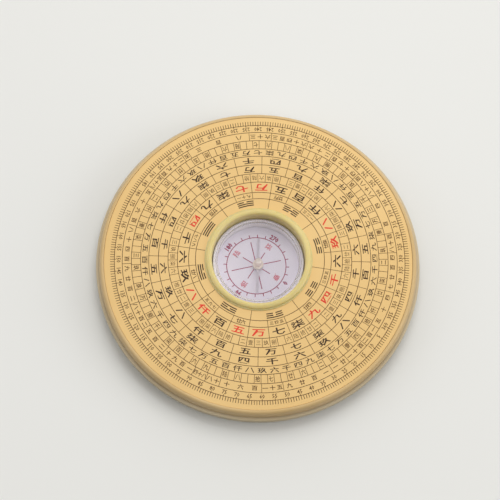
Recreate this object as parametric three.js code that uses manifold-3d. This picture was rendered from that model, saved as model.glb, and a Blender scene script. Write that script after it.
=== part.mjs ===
// A round pocket feng shui compass: a front shell that plugs into a slightly wider rear shell at a
// dark parting groove, a flat ring dial in a recess of the front shell, a bezel that clamps the
// dial's inner edge, and a capsule with a clear lens, a card and a pivoted steel needle. Four screws
// hold the shells together.
// Lengths are in millimetres, +Z is up, and the origin is the middle of the underside.

import * as THREE from 'three';
import { mergeVertices } from 'three/addons/utils/BufferGeometryUtils.js';
import Module from 'manifold-3d';

const wasm = await Module();
wasm.setup();

// Body
const bodyRadius = 50;
const faceHeight = 9;
const ledgeWidth = 1;
const ledgeRound = 0.5;
const seamHeight = 6.3;
const grooveHeight = 0.5;
const shoulderWidth = 1.25;
const shoulderUpright = 0.2;
const lipWidth = 0.3;
const lipRise = 0.15;
const plateThickness = 1.6;
const floorThickness = 1.2;
const footCornerRadius = 4.4;
const floorFillet = 3;
const rearWall = 1.85;
const tongueThickness = 1.3;
const tongueDrop = 1.7;
const tongueClearance = 0.15;

// Ribs under the front shell's plate
const ribThickness = 1.2;
const ribDepth = 2.2;
const ribCount = 8;

// Dial
const dialThickness = 0.5;
const dialClearance = 0.1;

// Capsule
const capsuleRadius = 14;
const capsuleGap = 0.3;
const cupWall = 0.6;
const cupDraft = 0.4;
const cupFloor = 0.9;
const cupChamfer = 0.4;
const cardThickness = 0.2;
const cardClearance = 0.15;
const lensThickness = 1.2;
const lensCrown = 0.6;
const lensEdgeRound = 0.35;
const lensFlangeWidth = 0.7;
const lensFlangeThickness = 0.8;
const lensFlangeRound = 0.2;
const lensRimDrop = 1.4;
const spigotDepth = 0.4;
const spigotWall = 0.5;
const spigotClearance = 0.15;
const seatRingHeight = 3;

// Bezel
const bezelWall = 1.3;
const bezelFlange = 1;
const bezelFlangeEdge = 0.35;
const bezelFlangeLand = 0.35;
const bezelCrestInset = 0.8;
const bezelRise = 1.3;
const bezelClearance = 0.15;
const collarWall = 1.45;

// Pivot pin
const pinRadius = 0.3;
const pinClearance = 0.1;
const pinTaper = 0.95;
const pinSocketDepth = 1.1;
const pivotBossRadius = 1.5;
const pivotBossHeight = 0.7;

// Needle, its cap and the jewel that runs on the pin
const needleLength = 17.6;
const needleWidth = 0.7;
const needleThickness = 0.2;
const needleLift = 1;
const needlePoint = 0.5;
const needleEyeRadius = 1.35;
const needleBearing = THREE.MathUtils.degToRad(88.6);
const capRise = 3.5;
const capRadius = 1.1;
const capFlangeRadius = 1.65;
const capFlangeThickness = 0.3;
const capNeckRadius = 0.85;
const capNeckClearance = 0.1;
const capRivetRadius = 1.2;
const capRivetDepth = 0.25;
const capBoreRadius = 0.6;
const capCrown = 0.5;
const capHeadroom = 0.3;
const jewelClearance = 0.05;
const jewelHeight = 0.8;
const jewelCupRadius = 0.35;
const jewelCupDepth = 0.55;
const tipClearance = 0.1;

// Screws and what they pass through
const screwCount = 4;
const screwHeadRadius = 2;
const screwHeadHeight = 1.3;
const screwHeadRound = 0.5;
const screwShankRadius = 0.95;
const screwPoint = 1;
const screwHeadSink = 0.4;
const screwHeadClearance = 0.3;
const screwHoleClearance = 0.3;
const pilotClearance = 0.15;
const pilotSpare = 0.4;
const postWall = 1.2;
const postSeat = 1.5;
const bossWall = 1.6;
const bossInset = 8.7;

// One overrun serves every cut and every join that runs into its neighbour
const overrun = 0.4;
const weldShare = 1e-6;

// How finely round forms are divided
const shellSides = 72;
const bezelSides = 60;
const capsuleSides = 48;
const smallSides = 24;
const fineSides = 16;
const eyeSteps = 6;

// Levels worked out from the sizes above
const dialSeatLevel = faceHeight - dialThickness;
const plateUnderside = dialSeatLevel - plateThickness;
const lipLevel = faceHeight + lipRise;
const ledgeLevel = seamHeight - grooveHeight;
const tongueBottom = seamHeight - tongueDrop;
const cupFloorLevel = floorThickness + cupFloor;
const cardTop = cupFloorLevel + cardThickness;
const needleUnderside = cardTop + needleLift;
const needleTop = needleUnderside + needleThickness;
const capTop = needleTop + capRise;
const capBoreTop = capTop - capCrown;
const jewelUnderside = capBoreTop - jewelHeight;
const pinTip = jewelUnderside + jewelCupDepth - tipClearance;
const lensUnderside = capTop + capHeadroom;
const lensTop = lensUnderside + lensThickness;
const cupRim = lensUnderside - lensRimDrop;
const pivotBossTop = cupFloorLevel + pivotBossHeight;
const pinSocketFloor = pivotBossTop - pinSocketDepth;
const screwSeat = screwHeadHeight + screwHeadSink;
const postTop = screwSeat + postSeat;
const screwTip = plateUnderside;
const pilotTop = screwTip + pilotSpare;

// Radii worked out from the sizes above
const frontRadius = bodyRadius - ledgeWidth;
const lipOuterRadius = frontRadius - shoulderWidth;
const recessRadius = lipOuterRadius - lipWidth;
const dialRadius = recessRadius - dialClearance;
const rearBore = bodyRadius - rearWall;
const tongueRadius = rearBore - tongueClearance;
const tongueBore = tongueRadius - tongueThickness;
const bezelBore = capsuleRadius + capsuleGap;
const skirtRadius = bezelBore + bezelWall;
const bezelRadius = skirtRadius + bezelFlange;
const collarBore = skirtRadius + bezelClearance;
const collarRadius = collarBore + collarWall;
const middleRibRadius = (collarRadius + tongueBore) / 2;
const cupBore = capsuleRadius - cupWall;
const cupFloorRadius = cupBore - cupDraft;
const counterboreRadius = screwHeadRadius + screwHeadClearance;
const screwHoleRadius = screwShankRadius + screwHoleClearance;
const postRadius = counterboreRadius + postWall;
const pilotRadius = screwShankRadius + pilotClearance;
const bossRadius = pilotRadius + bossWall;
const screwCircleRadius = tongueBore - bossInset;

// Points on part of an ellipse in the radius and height plane, angles in degrees
function arc(radius, height, acrossRadius, upRadius, from, to, steps) {
  const points = [];
  for (let step = 0; step <= steps; step += 1) {
    const angle = THREE.MathUtils.degToRad(from + ((to - from) * step) / steps);
    points.push([radius + acrossRadius * Math.cos(angle), height + upRadius * Math.sin(angle)]);
  }
  return points;
}

// A solid turned about Z from an outline of [radius, height] points
function turned(outline, sides) {
  const closed = outline.map(([radius, height]) => new THREE.Vector2(radius, height));
  if (outline[0][0] > 0) closed.push(closed[0].clone());
  const geometry = new THREE.LatheGeometry(closed, sides);
  geometry.rotateX(Math.PI / 2);
  return geometry;
}

function rod(radius, bottom, top, sides) {
  return turned([[0, bottom], [radius, bottom], [radius, top], [0, top]], sides);
}

// Geometry to solid and back, for cuts and joins
function solid(geometry) {
  const shape = geometry.clone();
  shape.deleteAttribute('normal');
  shape.deleteAttribute('uv');
  const merged = mergeVertices(shape, bodyRadius * weldShare);
  return new wasm.Manifold(new wasm.Mesh({
    numProp: 3,
    vertProperties: new Float32Array(merged.attributes.position.array),
    triVerts: new Uint32Array(merged.index.array),
  }));
}

function shapeOf(body) {
  const { vertProperties, triVerts } = body.getMesh();
  const geometry = new THREE.BufferGeometry();
  geometry.setAttribute('position', new THREE.BufferAttribute(vertProperties, 3));
  geometry.setIndex(new THREE.BufferAttribute(triVerts, 1));
  return geometry;
}

function placed(geometry, x, y, z, turn = 0) {
  return geometry.clone().rotateZ(turn).translate(x, y, z);
}

// Places of the screws, midway between the body's four quarters
function screwPlaces() {
  const places = [];
  for (let index = 0; index < screwCount; index += 1) {
    const angle = ((index + 0.5) * 2 * Math.PI) / screwCount;
    places.push([screwCircleRadius * Math.cos(angle), screwCircleRadius * Math.sin(angle)]);
  }
  return places;
}

// Front shell: rounded shoulder, dial recess, centre collar and a tongue that drops into the rear
// shell, with ribs and screw bosses beneath
function frontShell() {
  const shoulderFoot = seamHeight + shoulderUpright;
  const shoulder = arc(lipOuterRadius, shoulderFoot, shoulderWidth, lipLevel - shoulderFoot, 0, 90, 6);
  let body = solid(turned([
    [tongueBore, tongueBottom],
    [tongueRadius, tongueBottom],
    [tongueRadius, seamHeight],
    [frontRadius, seamHeight],
    ...shoulder,
    [recessRadius, lipLevel],
    [recessRadius, dialSeatLevel],
    [collarBore, dialSeatLevel],
    [collarBore, floorThickness],
    [collarRadius, floorThickness],
    [collarRadius, plateUnderside],
    [tongueBore, plateUnderside],
  ], shellSides));
  const ribBottom = plateUnderside - ribDepth;
  const ribTop = plateUnderside + overrun;
  const ribStart = collarRadius - overrun;
  const ribEnd = tongueBore + overrun;
  const rib = new THREE.BoxGeometry(ribEnd - ribStart, ribThickness, ribTop - ribBottom);
  for (let index = 0; index < ribCount; index += 1) {
    const angle = (index * 2 * Math.PI) / ribCount;
    const reach = (ribStart + ribEnd) / 2;
    const place = [reach * Math.cos(angle), reach * Math.sin(angle), (ribTop + ribBottom) / 2];
    body = body.add(solid(placed(rib, ...place, angle)));
  }
  const ringInner = middleRibRadius - ribThickness / 2;
  const ringOuter = middleRibRadius + ribThickness / 2;
  body = body.add(solid(turned([
    [ringInner, ribBottom],
    [ringOuter, ribBottom],
    [ringOuter, ribTop],
    [ringInner, ribTop],
  ], shellSides)));
  const boss = rod(bossRadius, postTop, ribTop, smallSides);
  const pilot = rod(pilotRadius, postTop - overrun, pilotTop, fineSides);
  for (const [x, y] of screwPlaces()) {
    body = body.add(solid(placed(boss, x, y, 0)));
    body = body.subtract(solid(placed(pilot, x, y, 0)));
  }
  return shapeOf(body);
}

// Rear shell: a shallow tray whose rim stands out as a ledge, with a ring that centres the capsule
// and screw posts
function rearShell() {
  const footRadius = bodyRadius - footCornerRadius;
  const corner = arc(footRadius, footCornerRadius, footCornerRadius, footCornerRadius, -90, 0, 5);
  const roundLevel = ledgeLevel - ledgeRound;
  const ledge = arc(bodyRadius - ledgeRound, roundLevel, ledgeRound, ledgeRound, 0, 90, 3);
  const filletRadius = rearBore - floorFillet;
  const filletLevel = floorThickness + floorFillet;
  const fillet = arc(filletRadius, filletLevel, floorFillet, floorFillet, 0, -90, 3);
  let body = solid(turned([
    [0, 0],
    ...corner,
    ...ledge,
    [rearBore, ledgeLevel],
    ...fillet,
    [skirtRadius, floorThickness],
    [skirtRadius, floorThickness + seatRingHeight],
    [bezelBore, floorThickness + seatRingHeight],
    [bezelBore, floorThickness],
    [0, floorThickness],
  ], shellSides));
  const post = rod(postRadius, floorThickness / 2, postTop, smallSides);
  const counterbore = rod(counterboreRadius, -overrun, screwSeat, smallSides);
  const hole = rod(screwHoleRadius, 0, postTop + overrun, fineSides);
  for (const [x, y] of screwPlaces()) {
    body = body.add(solid(placed(post, x, y, 0)));
    body = body.subtract(solid(placed(counterbore, x, y, 0)));
    body = body.subtract(solid(placed(hole, x, y, 0)));
  }
  return shapeOf(body);
}

// Dial: a flat printed ring that lies in the front shell's recess
function dialSheet() {
  return turned([
    [collarBore, dialSeatLevel],
    [dialRadius, dialSeatLevel],
    [dialRadius, faceHeight],
    [collarBore, faceHeight],
  ], shellSides);
}

// Bezel: a crown with its crest near the bore, on a thin flange, and a skirt that pushes into the
// collar and ends level with the cup's rim
function bezelRing() {
  const flangeTop = faceHeight + bezelFlangeEdge;
  const crestRadius = bezelBore + bezelCrestInset;
  const crownHeight = bezelRise - bezelFlangeEdge;
  const outerReach = bezelRadius - bezelFlangeLand - crestRadius;
  const outerSlope = arc(crestRadius, flangeTop, outerReach, crownHeight, 0, 90, 5);
  const innerSlope = arc(crestRadius, flangeTop, bezelCrestInset, crownHeight, 90, 180, 4).slice(1);
  return turned([
    [bezelBore, cupRim],
    [skirtRadius, cupRim],
    [skirtRadius, faceHeight],
    [bezelRadius, faceHeight],
    [bezelRadius, flangeTop],
    ...outerSlope,
    ...innerSlope,
  ], bezelSides);
}

// Capsule cup: pale, chamfered at the foot, drafted inside, with the pivot boss in its floor
function capsuleCup() {
  return turned([
    [0, floorThickness],
    [capsuleRadius - cupChamfer, floorThickness],
    [capsuleRadius, floorThickness + cupChamfer],
    [capsuleRadius, cupRim],
    [cupBore, cupRim],
    [cupFloorRadius, cupFloorLevel],
    [pivotBossRadius, cupFloorLevel],
    [pivotBossRadius, pivotBossTop],
    [pinRadius + pinClearance, pivotBossTop],
    [pinRadius + pinClearance, pinSocketFloor],
    [0, pinSocketFloor],
  ], capsuleSides);
}

// Capsule lens: a low dome on a flange, whose spigot drops inside the cup's rim
function capsuleLens() {
  const flangeLevel = cupRim + lensFlangeThickness;
  const flangeInner = capsuleRadius - lensFlangeWidth;
  const edgeTop = lensTop - lensCrown;
  const edgeRadius = flangeInner - lensEdgeRound;
  const edgeLevel = edgeTop - lensEdgeRound;
  const edge = arc(edgeRadius, edgeLevel, lensEdgeRound, lensEdgeRound, 0, 60, 2);
  const spigotRadius = cupBore - spigotClearance;
  const domeRadius = (edgeRadius ** 2 + lensCrown ** 2) / (2 * lensCrown);
  const dome = [];
  const domeSteps = 6;
  for (let step = 0; step <= domeSteps; step += 1) {
    const radius = edgeRadius * (1 - step / domeSteps);
    dome.push([radius, lensTop - domeRadius + Math.sqrt(domeRadius ** 2 - radius ** 2)]);
  }
  return turned([
    [0, lensUnderside],
    [spigotRadius - spigotWall, lensUnderside],
    [spigotRadius - spigotWall, cupRim - spigotDepth],
    [spigotRadius, cupRim - spigotDepth],
    [spigotRadius, cupRim],
    [capsuleRadius, cupRim],
    [capsuleRadius, flangeLevel - lensFlangeRound],
    [capsuleRadius - lensFlangeRound, flangeLevel],
    [flangeInner, flangeLevel],
    ...edge,
    ...dome,
  ], capsuleSides);
}

// Card: a printed disc on the cup's floor, holed for the pivot boss
function compassCard() {
  const bore = pivotBossRadius + cardClearance;
  const radius = cupFloorRadius - cardClearance;
  return turned([
    [bore, cupFloorLevel],
    [radius, cupFloorLevel],
    [radius, cardTop],
    [bore, cardTop],
  ], capsuleSides);
}

function pivotPin() {
  return turned([
    [0, pinSocketFloor],
    [pinRadius, pinSocketFloor],
    [pinRadius, pinTip - pinTaper],
    [0, pinTip],
  ], fineSides);
}

// Needle blade: a thin strip with pointed ends and a round eye for the cap's neck
function needleBlade() {
  const halfLength = needleLength / 2;
  const halfWidth = needleWidth / 2;
  const eyeStart = Math.asin(halfWidth / needleEyeRadius);
  const outline = new THREE.Shape();
  outline.moveTo(halfLength, 0);
  outline.lineTo(halfLength - needlePoint, halfWidth);
  outline.absarc(0, 0, needleEyeRadius, eyeStart, Math.PI - eyeStart, false);
  outline.lineTo(-halfLength + needlePoint, halfWidth);
  outline.lineTo(-halfLength, 0);
  outline.lineTo(-halfLength + needlePoint, -halfWidth);
  outline.absarc(0, 0, needleEyeRadius, Math.PI + eyeStart, 2 * Math.PI - eyeStart, false);
  outline.lineTo(halfLength - needlePoint, -halfWidth);
  outline.closePath();
  const eye = new THREE.Path();
  eye.absarc(0, 0, capNeckRadius + capNeckClearance, 0, 2 * Math.PI, true);
  outline.holes.push(eye);
  const settings = { depth: needleThickness, bevelEnabled: false, curveSegments: eyeSteps };
  return new THREE.ExtrudeGeometry(outline, settings).translate(0, 0, needleUnderside);
}

// Needle cap: riveted through the blade's eye, domed on top and bored from below for the jewel
function needleCap() {
  const flangeTop = needleTop + capFlangeThickness;
  const domeFoot = capTop - capRadius;
  const rivetBottom = needleUnderside - capRivetDepth;
  const dome = arc(0, domeFoot, capRadius, capRadius, 0, 90, 5);
  return turned([
    [0, capBoreTop],
    [capBoreRadius, capBoreTop],
    [capBoreRadius, rivetBottom],
    [capRivetRadius, rivetBottom],
    [capRivetRadius, needleUnderside],
    [capNeckRadius, needleUnderside],
    [capNeckRadius, needleTop],
    [capFlangeRadius, needleTop],
    [capFlangeRadius, flangeTop],
    [capRadius, flangeTop],
    ...dome,
  ], smallSides);
}

// Jewel: a small glass bearing with a conical cup that runs on the pin's point
function capJewel() {
  const radius = capBoreRadius - jewelClearance;
  return turned([
    [0, jewelUnderside + jewelCupDepth],
    [jewelCupRadius, jewelUnderside],
    [radius, jewelUnderside],
    [radius, capBoreTop],
    [0, capBoreTop],
  ], fineSides);
}

// Self-tapping screw: pan head in the counterbore, shank up the boss
function shellScrew() {
  const headBottom = screwSeat - screwHeadHeight;
  const headRound = arc(
    screwHeadRadius - screwHeadRound,
    headBottom + screwHeadRound,
    screwHeadRound,
    screwHeadRound,
    -90,
    0,
    2,
  );
  return turned([
    [0, headBottom],
    ...headRound,
    [screwHeadRadius, screwSeat],
    [screwShankRadius, screwSeat],
    [screwShankRadius, screwTip - screwPoint],
    [0, screwTip],
  ], fineSides);
}

function piece(name, geometry, colour, roughness, metalness) {
  const material = new THREE.MeshStandardMaterial({ color: colour, roughness, metalness });
  const mesh = new THREE.Mesh(geometry, material);
  mesh.name = name;
  return mesh;
}

const compass = new THREE.Group();
compass.add(piece('rear_shell', rearShell(), 0xcfc0a4, 0.45, 0));
compass.add(piece('front_shell', frontShell(), 0xc9ab74, 0.35, 0));
compass.add(piece('dial_sheet', dialSheet(), 0xf2d083, 0.5, 0));
compass.add(piece('bezel_ring', bezelRing(), 0xd5cb7d, 0.3, 0));
compass.add(piece('capsule_cup', capsuleCup(), 0xe6e4ea, 0.1, 0));
compass.add(piece('capsule_lens', capsuleLens(), 0xf4f4f8, 0.05, 0));
compass.add(piece('compass_card', compassCard(), 0xd9d4e2, 0.6, 0));
compass.add(piece('pivot_pin', pivotPin(), 0xb9b9bd, 0.3, 1));

const needle = new THREE.Group();
needle.rotation.z = needleBearing;
needle.add(piece('needle_blade', needleBlade(), 0xb8b8b4, 0.35, 1));
needle.add(piece('needle_cap', needleCap(), 0xd9c79a, 0.3, 1));
needle.add(piece('cap_jewel', capJewel(), 0xb02a3c, 0.1, 0));
compass.add(needle);

screwPlaces().forEach(([x, y], index) => {
  const screw = piece(`shell_screw_${index + 1}`, shellScrew(), 0xa9a9ad, 0.35, 1);
  screw.position.set(x, y, 0);
  compass.add(screw);
});

export default compass;
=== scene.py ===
import bpy
import bmesh
import math
from mathutils import Matrix, Vector


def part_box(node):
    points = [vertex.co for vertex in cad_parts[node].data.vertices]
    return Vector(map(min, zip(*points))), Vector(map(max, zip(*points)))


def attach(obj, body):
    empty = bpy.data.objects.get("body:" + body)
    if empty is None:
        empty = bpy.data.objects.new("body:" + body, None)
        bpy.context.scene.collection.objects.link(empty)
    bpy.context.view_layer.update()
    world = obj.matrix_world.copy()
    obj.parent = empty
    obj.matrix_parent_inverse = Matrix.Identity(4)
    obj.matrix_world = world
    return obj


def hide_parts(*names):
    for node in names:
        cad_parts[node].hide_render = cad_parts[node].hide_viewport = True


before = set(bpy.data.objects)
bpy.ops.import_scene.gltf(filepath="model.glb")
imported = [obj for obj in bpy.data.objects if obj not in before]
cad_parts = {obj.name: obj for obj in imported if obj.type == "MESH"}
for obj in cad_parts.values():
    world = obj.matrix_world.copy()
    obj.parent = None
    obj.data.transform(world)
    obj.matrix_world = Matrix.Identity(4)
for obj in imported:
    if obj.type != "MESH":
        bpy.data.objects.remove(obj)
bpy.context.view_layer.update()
print("frame loaded")

mm = 0.001
fullTurn = 2 * math.pi
sharpAngle = 32  # degrees: an edge that bends less is shaded smooth
weldReach = 0.0001  # mm: corners nearer than this are joined


# colours

def tint(red, green, blue):
    channels = [c / 255 for c in (red, green, blue)]
    linear = [c / 12.92 if c <= 0.04045 else ((c + 0.055) / 1.055) ** 2.4 for c in channels]
    return (*linear, 1.0)


# shader nodes: a value is a number or a colour to set, or a socket to link

def feed(tree, socket, value):
    if isinstance(value, (int, float, tuple)):
        socket.default_value = value
    else:
        tree.links.new(value, socket)


def addMath(tree, operation, first, second):
    node = tree.nodes.new("ShaderNodeMath")
    node.operation = operation
    feed(tree, node.inputs[0], first)
    feed(tree, node.inputs[1], second)
    return node.outputs[0]


def addRange(tree, value, source, target):
    node = tree.nodes.new("ShaderNodeMapRange")
    feed(tree, node.inputs["Value"], value)
    sockets = ("From Min", "From Max", "To Min", "To Max")
    for socket, bound in zip(sockets, (*source, *target)):
        feed(tree, node.inputs[socket], bound)
    return node.outputs["Result"]


def addNoise(tree, vector, scale, detail, roughness=0.5):
    node = tree.nodes.new("ShaderNodeTexNoise")
    feed(tree, node.inputs["Vector"], vector)
    feed(tree, node.inputs["Scale"], scale)
    feed(tree, node.inputs["Detail"], detail)
    feed(tree, node.inputs["Roughness"], roughness)
    return node.outputs["Fac"]


def addMix(tree, share, first, second):
    node = tree.nodes.new("ShaderNodeMix")
    node.data_type = "RGBA"
    feed(tree, node.inputs["Factor"], share)
    feed(tree, node.inputs["A"], first)
    feed(tree, node.inputs["B"], second)
    return node.outputs["Result"]


def addBump(tree, height, strength, distance):
    node = tree.nodes.new("ShaderNodeBump")
    feed(tree, node.inputs["Strength"], strength)
    feed(tree, node.inputs["Distance"], distance * mm)
    feed(tree, node.inputs["Height"], height)
    return node.outputs["Normal"]


# shader node groups, each built once

surfaceLook = {
    "cloudScale": 40.0, "cloudDetail": 3, "cloudRange": (0.32, 0.68), "pitScale": 3000.0,
    "pitDetail": 2, "streakTurn": 0.7, "streakStretch": (1, 14, 14), "streakScale": 160.0,
    "streakDetail": 4, "streakRoughness": 0.6, "scuffRange": (0.58, 0.72),
    "spreadRange": (0.3, 0.7), "spread": 0.04, "bumpDistance": 0.02,
}
metalLook = {
    "lineScale": 900.0, "lineDetail": 3, "lineRoughness": 0.6, "lineRange": (0.3, 0.7),
    "spread": 0.06, "bumpStrength": 0.25, "bumpDistance": 0.01,
}
groupOutputs = (
    ("Color", "NodeSocketColor"), ("Roughness", "NodeSocketFloat"), ("Normal", "NodeSocketVector"),
)


def newGroup(name, inputs):
    group = bpy.data.node_groups.new(name, "ShaderNodeTree")
    for label, kind, value in inputs:
        socket = group.interface.new_socket(name=label, in_out="INPUT", socket_type=kind)
        socket.default_value = value
    for label, kind in groupOutputs:
        group.interface.new_socket(name=label, in_out="OUTPUT", socket_type=kind)
    return group, group.nodes.new("NodeGroupInput").outputs


def closeGroup(group, *results):
    leave = group.nodes.new("NodeGroupOutput")
    for (label, kind), result in zip(groupOutputs, results):
        group.links.new(result, leave.inputs[label])
    return group


# moulded or printed surface: cloudy tone, fine pitting and faint scuffs
def makeSurfaceGroup(look):
    group, given = newGroup("mouldedSurface", [
        ("Tone", "NodeSocketColor", (0.8, 0.8, 0.8, 1)),
        ("Deep Tone", "NodeSocketColor", (0.6, 0.6, 0.6, 1)),
        ("Pit Depth", "NodeSocketFloat", 0.1),
        ("Roughness", "NodeSocketFloat", 0.4),
        ("Scuffs", "NodeSocketFloat", 0.1),
    ])
    place = group.nodes.new("ShaderNodeTexCoord").outputs["Object"]
    clouds = addNoise(group, place, look["cloudScale"], look["cloudDetail"])
    pits = addNoise(group, place, look["pitScale"], look["pitDetail"])
    stretch = group.nodes.new("ShaderNodeMapping")
    stretch.inputs["Rotation"].default_value = (0, 0, look["streakTurn"])
    stretch.inputs["Scale"].default_value = look["streakStretch"]
    group.links.new(place, stretch.inputs["Vector"])
    streaks = addNoise(
        group, stretch.outputs["Vector"], look["streakScale"], look["streakDetail"],
        look["streakRoughness"],
    )
    scuffs = addRange(group, streaks, look["scuffRange"], (0.0, given["Scuffs"]))
    share = addRange(group, clouds, look["cloudRange"], (0.0, 1.0))
    spread = addRange(group, clouds, look["spreadRange"], (-look["spread"], look["spread"]))
    rough = addMath(group, "ADD", given["Roughness"], scuffs)
    return closeGroup(
        group,
        addMix(group, share, given["Tone"], given["Deep Tone"]),
        addMath(group, "ADD", rough, spread),
        addBump(group, pits, given["Pit Depth"], look["bumpDistance"]),
    )


# rolled or turned metal: fine lines along one way
def makeMetalGroup(look):
    group, given = newGroup("drawnMetal", [
        ("Tone", "NodeSocketColor", (0.6, 0.6, 0.6, 1)),
        ("Deep Tone", "NodeSocketColor", (0.4, 0.4, 0.4, 1)),
        ("Grain", "NodeSocketVector", (1.0, 1.0, 1.0)),
        ("Roughness", "NodeSocketFloat", 0.3),
    ])
    scale = group.nodes.new("ShaderNodeVectorMath")
    scale.operation = "MULTIPLY"
    group.links.new(group.nodes.new("ShaderNodeTexCoord").outputs["Object"], scale.inputs[0])
    group.links.new(given["Grain"], scale.inputs[1])
    lines = addNoise(
        group, scale.outputs[0], look["lineScale"], look["lineDetail"], look["lineRoughness"],
    )
    share = addRange(group, lines, look["lineRange"], (0.0, 1.0))
    spread = addRange(group, lines, look["lineRange"], (-look["spread"], look["spread"]))
    return closeGroup(
        group,
        addMix(group, share, given["Tone"], given["Deep Tone"]),
        addMath(group, "ADD", given["Roughness"], spread),
        addBump(group, lines, look["bumpStrength"], look["bumpDistance"]),
    )


mouldedSurface = makeSurfaceGroup(surfaceLook)
drawnMetal = makeMetalGroup(metalLook)


# materials

def newMaterial(name, group, values, sockets):
    material = bpy.data.materials.new(name)
    material.use_nodes = True
    tree = material.node_tree
    shader = tree.nodes["Principled BSDF"]
    texture = tree.nodes.new("ShaderNodeGroup")
    texture.node_tree = group
    for label, value in values.items():
        texture.inputs[label].default_value = value
    tree.links.new(texture.outputs["Color"], shader.inputs["Base Color"])
    tree.links.new(texture.outputs["Roughness"], shader.inputs["Roughness"])
    tree.links.new(texture.outputs["Normal"], shader.inputs["Normal"])
    for label, value in sockets.items():
        shader.inputs[label].default_value = value
    return material


def plastic(name, tone, deepTone, roughness, scuffs=0.08, pits=0.1, **sockets):
    values = {
        "Tone": tint(*tone), "Deep Tone": tint(*deepTone), "Roughness": roughness,
        "Scuffs": scuffs, "Pit Depth": pits,
    }
    named = {label.replace("_", " "): value for label, value in sockets.items()}
    return newMaterial(name, mouldedSurface, values, named)


def metal(name, tone, deepTone, roughness, grain):
    values = {
        "Tone": tint(*tone), "Deep Tone": tint(*deepTone), "Roughness": roughness, "Grain": grain,
    }
    return newMaterial(name, drawnMetal, values, {"Metallic": 1.0})


tanPlastic = plastic("tanPlastic", (218, 187, 133), (209, 176, 119), 0.36, Coat_Weight=0.15)
creamPlastic = plastic("creamPlastic", (207, 190, 157), (198, 180, 145), 0.42)
goldFilm = plastic("goldFilm", (240, 202, 135), (235, 196, 128), 0.45, scuffs=0.05, pits=0.25)
glowPlastic = plastic(
    "glowPlastic", (228, 210, 146), (219, 201, 134), 0.34, scuffs=0.05,
    Subsurface_Weight=0.6, Subsurface_Radius=(1.0, 0.9, 0.5), Subsurface_Scale=1.5 * mm,
)
cardStock = plastic("cardStock", (226, 220, 231), (219, 213, 225), 0.6, scuffs=0.02)
blackInk = plastic("blackInk", (54, 35, 15), (66, 45, 21), 0.6, scuffs=0.02)
brownInk = plastic("brownInk", (86, 57, 20), (98, 67, 26), 0.6, scuffs=0.02)
redInk = plastic("redInk", (232, 70, 44), (222, 60, 38), 0.5, scuffs=0.02)
crimsonInk = plastic("crimsonInk", (158, 44, 88), (146, 36, 78), 0.55, scuffs=0.02)
pinkInk = plastic("pinkInk", (206, 112, 128), (198, 102, 118), 0.55, scuffs=0.02)
milkyPlastic = plastic(
    "milkyPlastic", (244, 238, 242), (237, 231, 236), 0.55, scuffs=0.02,
    Subsurface_Weight=0.5, Subsurface_Radius=(1.0, 1.0, 1.0), Subsurface_Scale=1.5 * mm,
)
clearPlastic = plastic(
    "clearPlastic", (250, 250, 252), (246, 246, 250), 0.0, scuffs=0.0, pits=0.0,
    Transmission_Weight=1.0, IOR=1.49,
)
needleSteel = metal("needleSteel", (231, 224, 230), (220, 213, 219), 0.6, (4.0, 1.0, 4.0))
pinSteel = metal("pinSteel", (190, 190, 194), (168, 168, 172), 0.3, (1.0, 1.0, 6.0))
capBrass = metal("capBrass", (252, 241, 230), (240, 228, 214), 0.55, (1.0, 1.0, 4.0))
screwSteel = metal("screwSteel", (180, 180, 184), (150, 150, 156), 0.34, (3.0, 3.0, 1.0))
jewelGlass = plastic(
    "jewelGlass", (176, 42, 60), (160, 34, 50), 0.08, scuffs=0.0, pits=0.0,
    Transmission_Weight=0.6, IOR=1.76,
)


# the lens is perfectly smooth, and lets lamp and sky light straight through to the card
def letLightThrough(material):
    tree = material.node_tree
    shader = tree.nodes["Principled BSDF"]
    tree.links.remove(shader.inputs["Roughness"].links[0])
    shader.inputs["Roughness"].default_value = 0.0
    path = tree.nodes.new("ShaderNodeLightPath").outputs
    clear = tree.nodes.new("ShaderNodeBsdfTransparent")
    mix = tree.nodes.new("ShaderNodeMixShader")
    passing = addMath(tree, "MAXIMUM", path["Is Shadow Ray"], path["Is Diffuse Ray"])
    tree.links.new(passing, mix.inputs["Fac"])
    tree.links.new(shader.outputs["BSDF"], mix.inputs[1])
    tree.links.new(clear.outputs["BSDF"], mix.inputs[2])
    tree.links.new(mix.outputs["Shader"], tree.nodes["Material Output"].inputs["Surface"])


letLightThrough(clearPlastic)
print("materials made")


# mesh helpers

def shadeByAngle(mesh):
    for polygon in mesh.polygons:
        polygon.use_smooth = True
    mesh.set_sharp_from_angle(angle=math.radians(sharpAngle))


def finishPiece(bm, name, material):
    bmesh.ops.remove_doubles(bm, verts=bm.verts[:], dist=weldReach * mm)
    bmesh.ops.recalc_face_normals(bm, faces=bm.faces[:])
    mesh = bpy.data.meshes.new(name)
    bm.to_mesh(mesh)
    bm.free()
    piece = bpy.data.objects.new(name, mesh)
    bpy.context.scene.collection.objects.link(piece)
    mesh.materials.append(material)
    shadeByAngle(mesh)
    return piece


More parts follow.
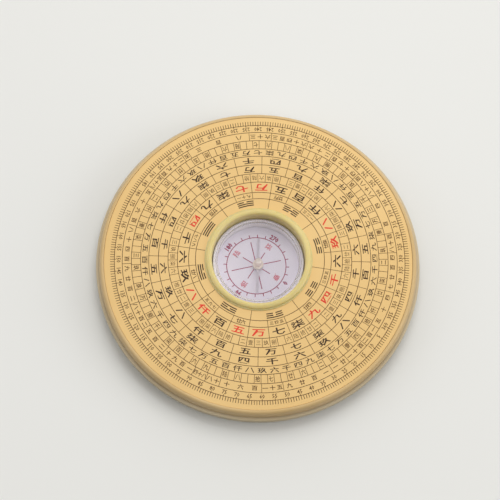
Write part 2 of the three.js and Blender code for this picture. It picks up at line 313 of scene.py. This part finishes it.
# A corner is (radius, height) in mm, and stays sharp, or (radius, height, how, amount, segments),
# and is rounded by "OFFSET" in mm or "PERCENT". An open run of corners starts and ends on the axis.
def turnedMesh(bm, corners, steps, closed=True, angle=fullTurn, start=0.0):
    verts = [bm.verts.new((corner[0] * mm, 0, corner[1] * mm)) for corner in corners]
    edges = [bm.edges.new(pair) for pair in zip(verts, verts[1:])]
    if closed:
        edges.append(bm.edges.new((verts[-1], verts[0])))
    known = set(bm.verts) - set(verts)
    for vert, corner in zip(verts, corners):
        if len(corner) > 2:
            how, amount, segments = corner[2:]
            bmesh.ops.bevel(
                bm, geom=[vert], offset=amount * mm if how == "OFFSET" else amount,
                offset_type=how, segments=segments, profile=0.5, affect="VERTICES", material=-1,
            )
    fresh = [v for v in bm.verts if v not in known]
    lines = list({edge for v in fresh for edge in v.link_edges})
    bmesh.ops.rotate(bm, cent=(0, 0, 0), matrix=Matrix.Rotation(start, 3, "Z"), verts=fresh)
    whole = math.isclose(angle, fullTurn)
    bmesh.ops.spin(
        bm, geom=fresh + lines, cent=(0, 0, 0), axis=(0, 0, 1), angle=angle, steps=steps,
        use_merge=whole, use_duplicate=False,
    )
    if not whole:
        rims = [e for e in bm.edges if len(e.link_faces) == 1]
        bmesh.ops.holes_fill(bm, edges=rims, sides=len(corners))


def turnedPiece(name, corners, steps, material, closed=True):
    bm = bmesh.new()
    turnedMesh(bm, corners, steps, closed)
    return finishPiece(bm, name, material)


def booleanPiece(piece, cutter, operation):
    modifier = piece.modifiers.new("carve", "BOOLEAN")
    modifier.operation = operation
    modifier.solver = "EXACT"
    modifier.object = cutter
    graph = bpy.context.evaluated_depsgraph_get()
    mesh = bpy.data.meshes.new_from_object(piece.evaluated_get(graph))
    piece.modifiers.clear()
    spent = piece.data
    piece.data = mesh
    bpy.data.meshes.remove(spent)
    bpy.data.objects.remove(cutter)
    shadeByAngle(mesh)


def addRod(bm, radius, low, high, x, y, segments):
    bmesh.ops.create_cone(
        bm, cap_ends=True, segments=segments, radius1=radius * mm, radius2=radius * mm,
        depth=(high - low) * mm, matrix=Matrix.Translation((x * mm, y * mm, (low + high) / 2 * mm)),
    )


def addBox(bm, size, place):
    bmesh.ops.create_cube(bm, size=1.0, matrix=place @ Matrix.Diagonal((*size, 1.0)))


def seat(piece, body, slot, *nodes):
    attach(piece, body)
    if nodes:
        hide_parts(*nodes)


# what the frame gives, in mm

def level(node, high=True):
    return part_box(node)[1 if high else 0].z / mm


def reach(node):
    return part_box(node)[1].x / mm


def screwPlace(index):
    low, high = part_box(f"shell_screw_{index + 1}")
    return (low.x + high.x) / 2 / mm, (low.y + high.y) / 2 / mm


frontRadius = reach("front_shell")
bodyRadius = reach("rear_shell")
bezelRadius = reach("bezel_ring")
capsuleRadius = reach("capsule_cup")
faceLevel = level("dial_sheet")
seatLevel = level("dial_sheet", high=False)
screwPlaces = [screwPlace(index) for index in range(4)]


# shells: a round is (mm, segments), and the shoulder's is (percent, segments)

shells = {
    "seam": 6.3, "tongue": 48.0, "tongueWall": 1.3, "tongueDrop": 1.7, "shoulderFoot": 6.5,
    "shoulder": 1.25, "recess": 47.45, "plate": 1.6, "collarBore": 15.75, "collar": 17.2,
    "ribs": 8, "ribDepth": 2.2, "ribWall": 1.2, "boss": 2.7, "bossFoot": 3.2, "bossSides": 48,
    "pilot": 1.1, "pilotSpare": 0.4, "pilotSides": 24, "cutPast": 1, "steps": 240,
    "tongueRound": (0.2, 2), "seamRound": (0.1, 3), "shoulderRound": (99.5, 14),
    "lipRound": (0.06, 2), "collarRound": (0.1, 2), "rootRound": (0.4, 3),
}
tray = {
    "floor": 1.2, "bore": 48.15, "ringBore": 14.3, "ringOuter": 15.6, "ringTop": 4.2, "post": 3.5,
    "postTop": 3.2, "postSides": 64, "counterbore": 2.3, "screwSeat": 1.7, "screwHole": 1.25,
    "cutPast": 1, "steps": 240, "footRound": (4.4, 16), "ledgeRound": (0.5, 5),
    "fillet": (3.0, 6), "ringRound": (0.15, 2),
}


def makeFrontShell(s):
    top = level("front_shell")
    foot = level("front_shell", high=False)
    underside = seatLevel - s["plate"]
    tongueBore = s["tongue"] - s["tongueWall"]
    tongueFoot = s["seam"] - s["tongueDrop"]
    piece = turnedPiece("frontShell", [
        (tongueBore, tongueFoot, "OFFSET", *s["tongueRound"]),
        (s["tongue"], tongueFoot, "OFFSET", *s["tongueRound"]),
        (s["tongue"], s["seam"]),
        (frontRadius, s["seam"], "OFFSET", *s["seamRound"]),
        (frontRadius, s["shoulderFoot"]),
        (frontRadius, top, "PERCENT", *s["shoulderRound"]),
        (frontRadius - s["shoulder"], top),
        (s["recess"], top, "OFFSET", *s["lipRound"]),
        (s["recess"], seatLevel),
        (s["collarBore"], seatLevel, "OFFSET", *s["collarRound"]),
        (s["collarBore"], foot),
        (s["collar"], foot),
        (s["collar"], underside, "OFFSET", *s["rootRound"]),
        (tongueBore, underside, "OFFSET", *s["rootRound"]),
    ], s["steps"], tanPlastic)
    ribFoot = underside - s["ribDepth"]
    ribHead = underside + s["plate"] / 2
    ribStart = s["collar"] - s["ribWall"] / 2
    ribEnd = tongueBore + s["ribWall"] / 2
    size = ((ribEnd - ribStart) * mm, s["ribWall"] * mm, (ribHead - ribFoot) * mm)
    middle = Matrix.Translation(((ribStart + ribEnd) / 2 * mm, 0, (ribHead + ribFoot) / 2 * mm))
    bm = bmesh.new()
    for index in range(s["ribs"]):
        addBox(bm, size, Matrix.Rotation(index * fullTurn / s["ribs"], 4, "Z") @ middle)
    booleanPiece(piece, finishPiece(bm, "ribs", tanPlastic), "UNION")
    ringMiddle = (s["collar"] + tongueBore) / 2
    ringInner, ringOuter = ringMiddle - s["ribWall"] / 2, ringMiddle + s["ribWall"] / 2
    ringRib = turnedPiece("ringRib", [
        (ringInner, ribFoot), (ringOuter, ribFoot), (ringOuter, ribHead), (ringInner, ribHead),
    ], s["steps"], tanPlastic)
    booleanPiece(piece, ringRib, "UNION")
    pilotFoot, pilotTop = s["bossFoot"] - s["cutPast"], underside + s["pilotSpare"]
    for x, y in screwPlaces:
        bm = bmesh.new()
        addRod(bm, s["boss"], s["bossFoot"], ribHead, x, y, s["bossSides"])
        booleanPiece(piece, finishPiece(bm, "boss", tanPlastic), "UNION")
        bm = bmesh.new()
        addRod(bm, s["pilot"], pilotFoot, pilotTop, x, y, s["pilotSides"])
        booleanPiece(piece, finishPiece(bm, "pilot", tanPlastic), "DIFFERENCE")
    seat(piece, "case", "tan_plastic", "front_shell")


def makeRearShell(t):
    ledge = level("rear_shell")
    floor = t["floor"]
    piece = turnedPiece("rearShell", [
        (0, 0),
        (bodyRadius, 0, "OFFSET", *t["footRound"]),
        (bodyRadius, ledge, "OFFSET", *t["ledgeRound"]),
        (t["bore"], ledge),
        (t["bore"], floor, "OFFSET", *t["fillet"]),
        (t["ringOuter"], floor),
        (t["ringOuter"], t["ringTop"], "OFFSET", *t["ringRound"]),
        (t["ringBore"], t["ringTop"], "OFFSET", *t["ringRound"]),
        (t["ringBore"], floor),
        (0, floor),
    ], t["steps"], creamPlastic, closed=False)
    cutFoot, cutTop = -t["cutPast"], t["postTop"] + t["cutPast"]
    for x, y in screwPlaces:
        bm = bmesh.new()
        addRod(bm, t["post"], floor / 2, t["postTop"], x, y, t["postSides"])
        booleanPiece(piece, finishPiece(bm, "post", creamPlastic), "UNION")
        bm = bmesh.new()
        turnedMesh(bm, [
            (0, cutFoot), (t["counterbore"], cutFoot), (t["counterbore"], t["screwSeat"]),
            (t["screwHole"], t["screwSeat"]), (t["screwHole"], cutTop), (0, cutTop),
        ], t["postSides"], closed=False)
        bmesh.ops.translate(bm, vec=(x * mm, y * mm, 0), verts=bm.verts[:])
        booleanPiece(piece, finishPiece(bm, "bore", creamPlastic), "DIFFERENCE")
    seat(piece, "case", "cream_plastic", "rear_shell")


makeFrontShell(shells)
makeRearShell(tray)
print("shells made")


# screws: pan heads with a cross recess

screws = {
    "head": 2.0, "headHeight": 1.3, "seat": 1.7, "shank": 0.95, "point": 1.0, "recess": 1.15,
    "slotWidth": 0.42, "slotDepth": 0.6, "turn": 0.6, "steps": 64, "headRound": (0.55, 6),
    "rimRound": (0.08, 2), "neckRound": (0.1, 2),
}


def makeScrews(s):
    foot = s["seat"] - s["headHeight"]
    tip = level("shell_screw_1")
    middle = Matrix.Translation((0, 0, foot * mm))
    size = (2 * s["recess"] * mm, s["slotWidth"] * mm, 2 * s["slotDepth"] * mm)
    for index, (x, y) in enumerate(screwPlaces):
        piece = turnedPiece(f"shellScrew{index + 1}", [
            (0, foot),
            (s["head"], foot, "OFFSET", *s["headRound"]),
            (s["head"], s["seat"], "OFFSET", *s["rimRound"]),
            (s["shank"], s["seat"], "OFFSET", *s["neckRound"]),
            (s["shank"], tip - s["point"]),
            (0, tip),
        ], s["steps"], screwSteel, closed=False)
        for quarter in (0, 1):
            place = Matrix.Rotation(quarter * math.pi / 2 + index * s["turn"], 4, "Z")
            bm = bmesh.new()
            addBox(bm, size, place @ middle)
            booleanPiece(piece, finishPiece(bm, "cross", screwSteel), "DIFFERENCE")
        piece.data.transform(Matrix.Translation((x * mm, y * mm, 0)))
        seat(piece, "case", "screw_steel", f"shell_screw_{index + 1}")


makeScrews(screws)
print("screws made")


# dial sheet

dialPlate = {"edgeRound": (0.05, 3), "edgeGap": 0.08, "steps": 240}


def makeDial(s):
    bore = shells["collarBore"]
    edge = shells["recess"] - s["edgeGap"]
    piece = turnedPiece("dialSheet", [
        (bore, seatLevel),
        (edge, seatLevel),
        (edge, faceLevel, "OFFSET", *s["edgeRound"]),
        (bore, faceLevel),
    ], s["steps"], goldFilm)
    seat(piece, "case", "gold_dial", "dial_sheet")


makeDial(dialPlate)


# bezel

bezel = {
    "bore": 14.3, "wall": 1.3, "flangeEdge": 0.35, "land": 0.35, "crestInset": 0.8, "slope": 10,
    "steps": 192, "skirtRound": (0.1, 2), "flangeRound": (0.15, 4),
}


def makeBezel(s):
    foot = level("bezel_ring", high=False)
    top = level("bezel_ring")
    flangeTop = faceLevel + s["flangeEdge"]
    crownEdge = bezelRadius - s["land"]
    crest = s["bore"] + s["crestInset"]
    slopes = []
    for step in range(1, 2 * s["slope"]):
        angle = step * math.pi / 2 / s["slope"]
        across = crownEdge - crest if step < s["slope"] else s["crestInset"]
        rise = (top - flangeTop) * math.sin(angle)
        slopes.append((crest + across * math.cos(angle), flangeTop + rise))
    piece = turnedPiece("bezelRing", [
        (s["bore"], foot, "OFFSET", *s["skirtRound"]),
        (s["bore"] + s["wall"], foot, "OFFSET", *s["skirtRound"]),
        (s["bore"] + s["wall"], faceLevel),
        (bezelRadius, faceLevel),
        (bezelRadius, flangeTop, "OFFSET", *s["flangeRound"]),
        (crownEdge, flangeTop),
        *slopes,
        (s["bore"], flangeTop),
    ], s["steps"], glowPlastic)
    seat(piece, "case", "luminous_plastic", "bezel_ring")


makeBezel(bezel)


# capsule: cup, lens, card

capsule = {
    "wall": 0.6, "draft": 0.4, "floor": 0.9, "rim": 5.9, "boss": 1.5, "bossHeight": 0.7,
    "socket": 0.4, "socketDepth": 1.1, "cardGap": 0.15, "steps": 160, "footRound": (0.4, 3),
    "rimRound": (0.1, 2), "mouthRound": (0.2, 4), "floorRound": (0.1, 2), "bossRound": (0.15, 3),
}
lens = {
    "underside": 7.3, "spigot": 0.4, "spigotWall": 0.5, "spigotGap": 0.15, "flange": 0.7,
    "flangeHeight": 0.8, "edgeInset": 0.35, "crown": 0.6, "domeSteps": 14,
    "undersideRound": (0.2, 3), "spigotRound": (0.1, 2), "seatRound": (0.08, 2),
    "flangeRound": (0.2, 4), "rootRound": (0.3, 5),
}


def makeCup(s):
    foot = level("capsule_cup", high=False)
    bore = capsuleRadius - s["wall"]
    floorTop = foot + s["floor"]
    bossTop = floorTop + s["bossHeight"]
    piece = turnedPiece("capsuleCup", [
        (0, foot),
        (capsuleRadius, foot, "OFFSET", *s["footRound"]),
        (capsuleRadius, s["rim"], "OFFSET", *s["rimRound"]),
        (bore, s["rim"], "OFFSET", *s["mouthRound"]),
        (bore - s["draft"], floorTop, "OFFSET", *s["floorRound"]),
        (s["boss"], floorTop),
        (s["boss"], bossTop, "OFFSET", *s["bossRound"]),
        (s["socket"], bossTop),
        (s["socket"], bossTop - s["socketDepth"]),
        (0, bossTop - s["socketDepth"]),
    ], s["steps"], milkyPlastic, closed=False)
    seat(piece, "case", "milky_plastic", "capsule_cup")


def makeLens(s):
    top = level("capsule_lens")
    rim = capsule["rim"]
    flangeTop = rim + s["flangeHeight"]
    flangeInner = capsuleRadius - s["flange"]
    spigot = capsuleRadius - capsule["wall"] - s["spigotGap"]
    edgeRadius = flangeInner - s["edgeInset"]
    edgeTop = top - s["crown"]
    domeRadius = (edgeRadius ** 2 + s["crown"] ** 2) / (2 * s["crown"])
    dome = []
    for step in range(s["domeSteps"] + 1):
        radius = edgeRadius * (1 - step / s["domeSteps"])
        dome.append((radius, top - domeRadius + math.sqrt(domeRadius ** 2 - radius ** 2)))
    piece = turnedPiece("capsuleLens", [
        (0, s["underside"]),
        (spigot - s["spigotWall"], s["underside"], "OFFSET", *s["undersideRound"]),
        (spigot - s["spigotWall"], rim - s["spigot"], "OFFSET", *s["spigotRound"]),
        (spigot, rim - s["spigot"], "OFFSET", *s["spigotRound"]),
        (spigot, rim),
        (capsuleRadius, rim, "OFFSET", *s["seatRound"]),
        (capsuleRadius, flangeTop, "OFFSET", *s["flangeRound"]),
        (flangeInner, flangeTop),
        (flangeInner, edgeTop, "OFFSET", *s["rootRound"]),
        *dome,
    ], capsule["steps"], clearPlastic, closed=False)
    seat(piece, "case", "clear_plastic", "capsule_lens")


def makeCard(s):
    low, high = level("compass_card", high=False), level("compass_card")
    bore, edge = s["boss"] + s["cardGap"], reach("compass_card")
    corners = [(bore, low), (edge, low), (edge, high), (bore, high)]
    piece = turnedPiece("compassCard", corners, s["steps"], cardStock)
    seat(piece, "case", "pale_card", "compass_card")


makeCup(capsule)
makeLens(lens)
makeCard(capsule)
print("capsule made")


# needle: the blade, pin and jewel keep their solids, the cap is turned finer

needleCap = {
    "bore": 0.6, "neck": 0.85, "rivet": 1.2, "flange": 1.65, "flangeHeight": 0.3, "dome": 1.05,
    "crown": 0.5, "steps": 64, "rivetRound": (0.08, 2), "flangeFoot": (0.06, 2),
    "flangeRound": (0.12, 4), "rootRound": (0.15, 4), "domeRound": (0.5, 8),
}


def makeNeedleCap(s):
    foot, top = level("needle_cap", high=False), level("needle_cap")
    bladeLow, bladeHigh = level("needle_blade", high=False), level("needle_blade")
    flangeTop = bladeHigh + s["flangeHeight"]
    piece = turnedPiece("needleCap", [
        (0, top - s["crown"]),
        (s["bore"], top - s["crown"]),
        (s["bore"], foot),
        (s["rivet"], foot, "OFFSET", *s["rivetRound"]),
        (s["rivet"], bladeLow),
        (s["neck"], bladeLow),
        (s["neck"], bladeHigh),
        (s["flange"], bladeHigh, "OFFSET", *s["flangeFoot"]),
        (s["flange"], flangeTop, "OFFSET", *s["flangeRound"]),
        (s["dome"], flangeTop, "OFFSET", *s["rootRound"]),
        (s["dome"], top, "OFFSET", *s["domeRound"]),
        (0, top),
    ], s["steps"], capBrass, closed=False)
    seat(piece, "needle", "cap_brass", "needle_cap")


def dressNode(node, material):
    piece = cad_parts[node]
    piece.data.materials.clear()
    piece.data.materials.append(material)


makeNeedleCap(needleCap)
dressNode("needle_blade", needleSteel)
dressNode("pivot_pin", pinSteel)
dressNode("cap_jewel", jewelGlass)
print("needle made")


# printing: thin raised ink, with angles in degrees anticlockwise from +X

ink = {
    "thickness": 0.02, "circle": 0.185, "division": 0.15, "tick": 0.18, "bold": 0.02,
    "fine": 0.012, "dialShift": (0.43, 0.05), "cardShift": (-0.5, 0.0),
}
glyphs = {}


# words as a mesh one unit high, kept for the next time
def glyphMesh(words, bold):
    if (words, bold) not in glyphs:
        curve = bpy.data.curves.new("glyph", "FONT")
        curve.body = words
        curve.resolution_u = 1
        curve.offset = bold
        curve.extrude = ink["thickness"] / 2 * mm
        letters = bpy.data.objects.new("glyph", curve)
        bpy.context.scene.collection.objects.link(letters)
        graph = bpy.context.evaluated_depsgraph_get()
        mesh = bpy.data.meshes.new_from_object(letters.evaluated_get(graph))
        bpy.data.objects.remove(letters)
        across = [v.co.x for v in mesh.vertices]
        up = [v.co.y for v in mesh.vertices]
        middle = Vector(((min(across) + max(across)) / 2, (min(up) + max(up)) / 2, 0))
        mesh.transform(Matrix.Translation(-middle))
        glyphs[words, bold] = mesh
    return glyphs[words, bold]


# a row is (radius, width, height) in mm
def stamp(bm, words, row, angle, base, bold=0.0, headsIn=True):
    radius, width, height = row
    copy = glyphMesh(words, bold).copy()
    turn = math.pi / 2 if headsIn else -math.pi / 2
    copy.transform(
        Matrix.Rotation(math.radians(angle), 4, "Z")
        @ Matrix.Translation((radius * mm, 0, (base + ink["thickness"] / 2) * mm))
        @ Matrix.Rotation(turn, 4, "Z")
        @ Matrix.Diagonal((width * mm, height * mm, 1.0, 1.0))
    )
    bm.from_mesh(copy)
    bpy.data.meshes.remove(copy)


def inkSection(radius, width, base):
    low, high = base, base + ink["thickness"]
    inner, outer = radius - width / 2, radius + width / 2
    return [(inner, low), (outer, low), (outer, high), (inner, high)]


def inkRing(bm, radius, width, base, steps):
    turnedMesh(bm, inkSection(radius, width, base), steps)


def inkArc(bm, radius, width, base, middle, span, steps):
    start = math.radians(middle - span / 2)
    turnedMesh(bm, inkSection(radius, width, base), steps, True, math.radians(span), start)


def inkSpoke(bm, inner, outer, angle, width, base):
    height = (base + ink["thickness"] / 2) * mm
    middle = Matrix.Translation(((inner + outer) / 2 * mm, 0, height))
    size = ((outer - inner) * mm, width * mm, ink["thickness"] * mm)
    addBox(bm, size, Matrix.Rotation(math.radians(angle), 4, "Z") @ middle)


def finishInk(bm, name, material, slot, shift):
    bmesh.ops.translate(bm, vec=(shift[0] * mm, shift[1] * mm, 0), verts=bm.verts[:])
    seat(finishPiece(bm, name, material), "case", slot)


rings = {
    "circles": (19.8, 21.9, 25.35, 28.2, 31.15, 34.1, 36.6, 39.4, 42.2, 44.6), "steps": 240,
    "zero": 330.4, "cells": 36.0, "doubled": 328.5, "tickEnd": 45.9, "longTick": 0.55,
    "hubGap": 0.05, "bar": 17.78, "barStep": 0.66, "barWidth": 0.34, "barSpan": 15.6,
    "barSteps": 8, "halfSpan": 6.5, "halfShift": 4.55, "halfSteps": 4,
}
wordRows = {
    "pairs": (20.85, 1.6, 1.45), "threes": (20.85, 1.3, 1.15), "large": (23.62, 4.2, 2.5),
    "small": (26.78, 1.6, 1.7), "inner": (29.67, 3.6, 2.1), "outer": (32.62, 3.8, 2.1),
    "sixty": (35.35, 2.8, 1.8), "boxed": (38.0, 1.5, 1.9), "lodge": (40.8, 1.8, 1.6),
    "degrees": (43.32, 1.6, 1.8),
}
wordPlaces = {
    "pairs": 313.5, "pairHalf": 1.9, "threeStep": 4.2, "small": 313.5, "sixty": 0.6,
    "boxed": 319.5, "boxedStep": 6, "cell": 3, "shiftedFrom": 28, "shiftedTo": 134,
    "lodgeZero": 330, "lodgeFill": 0.68,
}
lodgeWidths = (
    16.9, 9, 10, 8, 21.85, 9.15, 17.75, 6.1, 6, 15, 12.9, 11.9, 18.2, 17.8, 19.2, 6.9, 13.15, 3,
    28, 9.85, 16.25, 12, 14, 12.1, 18.15, 9, 17.85,
)
lodgeWords = (3, 3, 3, 2, 4, 3, 3, 2, 3, 4, 3, 4, 4, 4, 4, 3, 4, 1, 4, 3, 5, 3, 4, 4, 3, 3, 4)
lodgeStart = 345.15
numerals = "一二三四五六七八九十"
plain = "四五六七八九百千万玖柒仟"
mixed = "壹二廿拾陆六柒捌玖三"
redCells = (0, 1, 4, 5, 7, 8, 12, 15, 16, 20, 21, 23)
# clockwise from north, inner line first
trigrams = ("000", "001", "101", "011", "111", "110", "010", "100")


def numberWords(value):
    hundreds, rest = divmod(value, 100)
    tens, units = divmod(rest, 10)
    words = numerals[hundreds - 1] + "百" if hundreds else ""
    if tens:
        words += {1: "十", 2: "廿"}.get(tens, numerals[tens - 1] + "十")
    return words + (numerals[units - 1] if units else "")


# every fifth word, which is an order that no real scale has
def plainWord(index, ahead=0):
    return plain[(index * 5 + ahead) % len(plain)]


def makeDialLines(r):
    bm = bmesh.new()
    for radius in r["circles"]:
        inkRing(bm, radius, ink["circle"], faceLevel, r["steps"])
    c = r["circles"]
    across, up = ink["dialShift"]
    for index in range(8):
        angle = math.radians(r["cells"] + index * 45)
        hub = bezelRadius + r["hubGap"] - across * math.cos(angle) - up * math.sin(angle)
        inkSpoke(bm, hub, c[0], math.degrees(angle), ink["division"], faceLevel)
    spokes = (
        (c[0], c[1], 24, r["cells"]), (c[1], c[2], 24, r["cells"]), (c[2], c[3], 72, r["cells"]),
        (c[3], c[5], 24, r["doubled"]), (c[6], c[7], 120, r["cells"]),
    )
    for inner, outer, count, start in spokes:
        for index in range(count):
            angle = start + index * 360 / count
            inkSpoke(bm, inner, outer, angle, ink["division"], faceLevel)
    angle = lodgeStart
    for width in lodgeWidths:
        inkSpoke(bm, c[7], c[8], angle, ink["division"], faceLevel)
        angle -= width
    for degree in range(360):
        inner = c[9] - r["longTick"] if degree % 5 == 0 else c[9]
        inkSpoke(bm, inner, r["tickEnd"], r["zero"] - degree, ink["tick"], faceLevel)
    finishInk(bm, "dialLines", brownInk, "black_ink", ink["dialShift"])


def makeTrigrams(r):
    bm = bmesh.new()
    for index, lines in enumerate(trigrams):
        middle = r["doubled"] - index * 45
        for row, whole in enumerate(lines):
            radius = r["bar"] + row * r["barStep"]
            if whole == "1":
                inkArc(
                    bm, radius, r["barWidth"], faceLevel, middle, r["barSpan"], r["barSteps"],
                )
            else:
                for side in (-1, 1):
                    at = middle + side * r["halfShift"]
                    inkArc(
                        bm, radius, r["barWidth"], faceLevel, at, r["halfSpan"], r["halfSteps"],
                    )
    finishInk(bm, "dialTrigrams", blackInk, "black_ink", ink["dialShift"])


def makeLargeNumerals(r):
    black, red = bmesh.new(), bmesh.new()
    for index in range(24):
        angle = r["doubled"] - index * 15
        between = angle - 7.5
        target = red if index in redCells else black
        stamp(target, plainWord(index), wordRows["large"], angle, faceLevel, ink["bold"])
        stamp(black, plainWord(index, 5), wordRows["inner"], between, faceLevel, ink["bold"])
        stamp(black, plainWord(index, 4), wordRows["outer"], between, faceLevel, ink["bold"])
    for index in range(60):
        at = wordPlaces["sixty"] + index * 6
        stamp(black, plainWord(index), wordRows["sixty"], at, faceLevel, ink["fine"])
    finishInk(black, "dialNumerals", blackInk, "black_ink", ink["dialShift"])
    finishInk(red, "dialRedNumerals", redInk, "red_ink", ink["dialShift"])


def makeSmallNumerals(r, p):
    bm = bmesh.new()
    for index in range(12):
        middle = p["pairs"] - index * 30
        if index % 2 == 0:
            for side, word in ((-1, "廿"), (1, plain[index])):
                at = middle + side * p["pairHalf"]
                stamp(bm, word, wordRows["pairs"], at, faceLevel, ink["bold"])
        else:
            for side in (-1, 0, 1):
                word = numerals[(index + 2 + side) % len(numerals)]
                at = middle + side * p["threeStep"]
                stamp(bm, word, wordRows["threes"], at, faceLevel, ink["bold"])
    for index in range(72):
        if index % 6:
            word = mixed[index % len(mixed)]
            stamp(bm, word, wordRows["small"], p["small"] - index * 5, faceLevel)
    for index in range(24):
        for step, word in enumerate((plain[index % len(plain)], mixed[index % len(mixed)])):
            at = p["boxed"] - index * 15 - step * p["boxedStep"]
            if p["shiftedFrom"] < at < p["shiftedTo"]:
                at -= p["cell"]  # along this stretch the words sit one cell further on
            stamp(bm, word, wordRows["boxed"], at, faceLevel, ink["fine"])
    angle = lodgeStart
    radius, widest, height = wordRows["lodge"]
    for width, most in zip(lodgeWidths, lodgeWords):
        words = numberWords((p["lodgeZero"] - round(angle)) % 360 + 100)[-most:]
        row = (radius, min(widest, width * p["lodgeFill"] / len(words)), height)
        for place, word in enumerate(words):
            at = angle - width * (place + 0.5) / len(words)
            stamp(bm, word, row, at, faceLevel, ink["bold"])
        angle -= width
    for degree in range(5, 365, 5):
        stamp(bm, str(degree), wordRows["degrees"], r["zero"] - degree, faceLevel, ink["fine"])
    finishInk(bm, "dialSmallPrint", brownInk, "black_ink", ink["dialShift"])


makeDialLines(rings)
makeTrigrams(rings)
makeLargeNumerals(rings)
makeSmallNumerals(rings, wordPlaces)
print("dial printed")

cardMarks = {
    "zero": 327.5, "circle": 9.28, "line": 0.26, "steps": 120, "tickEnd": 10.3,
    "labels": (10.6, 1.9, 2.1), "labelBold": 0.045, "labelTurns": (0, 0, -3, 0),
    "marks": (7.3, 2.1, 2.1), "words": "壹拾陆柒", "shortRay": 5.0, "longRay": 7.9,
    "rayStart": 1.75,
}


def makeCardPrint(c):
    lines, marks = bmesh.new(), bmesh.new()
    base = level("compass_card")
    inkRing(lines, c["circle"], c["line"], base, c["steps"])
    for index in range(24):
        angle = c["zero"] - index * 15
        quarter, step = divmod(index, 6)
        if step:
            inkSpoke(lines, c["circle"], c["tickEnd"], angle, c["line"], base)
        else:
            at = angle + c["labelTurns"][quarter]
            stamp(lines, str(index * 15), c["labels"], at, base, c["labelBold"], False)
            stamp(marks, c["words"][quarter], c["marks"], angle, base, ink["bold"], False)
            for turn, end in ((0, c["shortRay"]), (45, c["longRay"])):
                across = ink["cardShift"][0] * math.cos(math.radians(angle + turn))
                inkSpoke(lines, c["rayStart"] - across, end, angle + turn, c["line"], base)
    finishInk(lines, "cardPrint", crimsonInk, "crimson_ink", ink["cardShift"])
    finishInk(marks, "cardMarks", pinkInk, "crimson_ink", ink["cardShift"])


makeCardPrint(cardMarks)
print("card printed")


# floor, light and camera

studio = {
    "floorReach": 3.0, "floorTone": (236, 236, 232), "floorShade": (150, 148, 140),
    "floorRoughness": 0.7, "backdrop": 0.85, "skyTint": (1.0, 0.99, 0.98, 1),
    "skyRange": (-0.6, 0.8), "skyBright": 0.84, "skyDark": 0.0, "skyAxis": (0.15, 0.8, 0.58),
}
lamps = {
    "keyLamp": {"power": 1.06, "place": (0.06, 0.25, 0.54), "size": 0.4, "mirrored": False},
    "rightLamp": {"power": 7.7, "place": (1.5, -0.45, 0.75), "size": 1.2, "mirrored": True},
    "leftLamp": {"power": 3.1, "place": (-1.5, -0.3, 0.75), "size": 1.2, "mirrored": True},
}
# the place is in mm from the middle of the dial's face, the focal length in pixels
viewpoint = {
    "place": (-15.93, -152.36, 443.77), "axis": (0.02827, 0.33012, -0.94352),
    "up": (-0.004, 0.94392, 0.33014), "focal": 1530, "pixels": 500, "sensor": 36, "near": 0.01,
}


# 1 where the camera looks, straight or by way of gloss or glass
def seenRay(tree):
    path = tree.nodes.new("ShaderNodeLightPath").outputs
    mirrored = addMath(tree, "MAXIMUM", path["Is Glossy Ray"], path["Is Transmission Ray"])
    return addMath(tree, "MAXIMUM", path["Is Camera Ray"], mirrored)


# pale to look at, with the darker shade for the light that it throws back
def makeFloor(s):
    bm = bmesh.new()
    bmesh.ops.create_grid(bm, x_segments=1, y_segments=1, size=s["floorReach"])
    material = plastic("paleFloor", s["floorTone"], s["floorTone"], s["floorRoughness"])
    tree = material.node_tree
    colour = tree.nodes["Principled BSDF"].inputs["Base Color"]
    pale = colour.links[0].from_socket
    tree.links.new(addMix(tree, seenRay(tree), tint(*s["floorShade"]), pale), colour)
    finishPiece(bm, "floor", material)


def makeSky(s):
    world = bpy.data.worlds.new("softSky")
    world.use_nodes = True
    tree = world.node_tree
    tree.nodes.clear()
    output = tree.nodes.new("ShaderNodeOutputWorld")
    sky = tree.nodes.new("ShaderNodeBackground")
    sky.inputs["Color"].default_value = s["skyTint"]
    facing = tree.nodes.new("ShaderNodeVectorMath")
    facing.operation = "DOT_PRODUCT"
    facing.inputs[1].default_value = Vector(s["skyAxis"]).normalized()
    tree.links.new(tree.nodes.new("ShaderNodeTexCoord").outputs["Generated"], facing.inputs[0])
    ramp = (s["skyDark"], s["skyBright"])
    strength = addRange(tree, facing.outputs["Value"], s["skyRange"], ramp)
    shown = addRange(tree, seenRay(tree), (0.0, 1.0), (strength, s["backdrop"]))
    tree.links.new(shown, sky.inputs["Strength"])
    tree.links.new(sky.outputs["Background"], output.inputs["Surface"])
    bpy.context.scene.world = world


def makeLamp(name, s):
    data = bpy.data.lights.new(name, "AREA")
    data.shape = "DISK"
    data.size = s["size"]
    data.energy = s["power"]
    lamp = bpy.data.objects.new(name, data)
    lamp.location = s["place"]
    lamp.rotation_mode = "QUATERNION"
    lamp.rotation_quaternion = (-Vector(s["place"])).to_track_quat("-Z", "Y")
    lamp.visible_glossy = s["mirrored"]
    lamp.visible_transmission = False
    bpy.context.scene.collection.objects.link(lamp)


def makeCamera(c):
    data = bpy.data.cameras.new("photoView")
    data.sensor_width = c["sensor"]
    data.lens = data.sensor_width * c["focal"] / c["pixels"]
    data.clip_start = c["near"]
    camera = bpy.data.objects.new("photoView", data)
    ahead = Vector(c["axis"]).normalized()
    right = ahead.cross(Vector(c["up"])).normalized()
    up = right.cross(ahead)
    turned = Matrix((right, up, -ahead)).transposed().to_4x4()
    place = Vector(c["place"]) * mm + Vector((0, 0, faceLevel * mm))
    camera.matrix_world = Matrix.Translation(place) @ turned
    bpy.context.scene.collection.objects.link(camera)
    bpy.context.scene.camera = camera


makeFloor(studio)
makeSky(studio)
for lampName, lampSettings in lamps.items():
    makeLamp(lampName, lampSettings)
makeCamera(viewpoint)
bpy.context.scene.view_settings.view_transform = "Standard"
print("stage set")
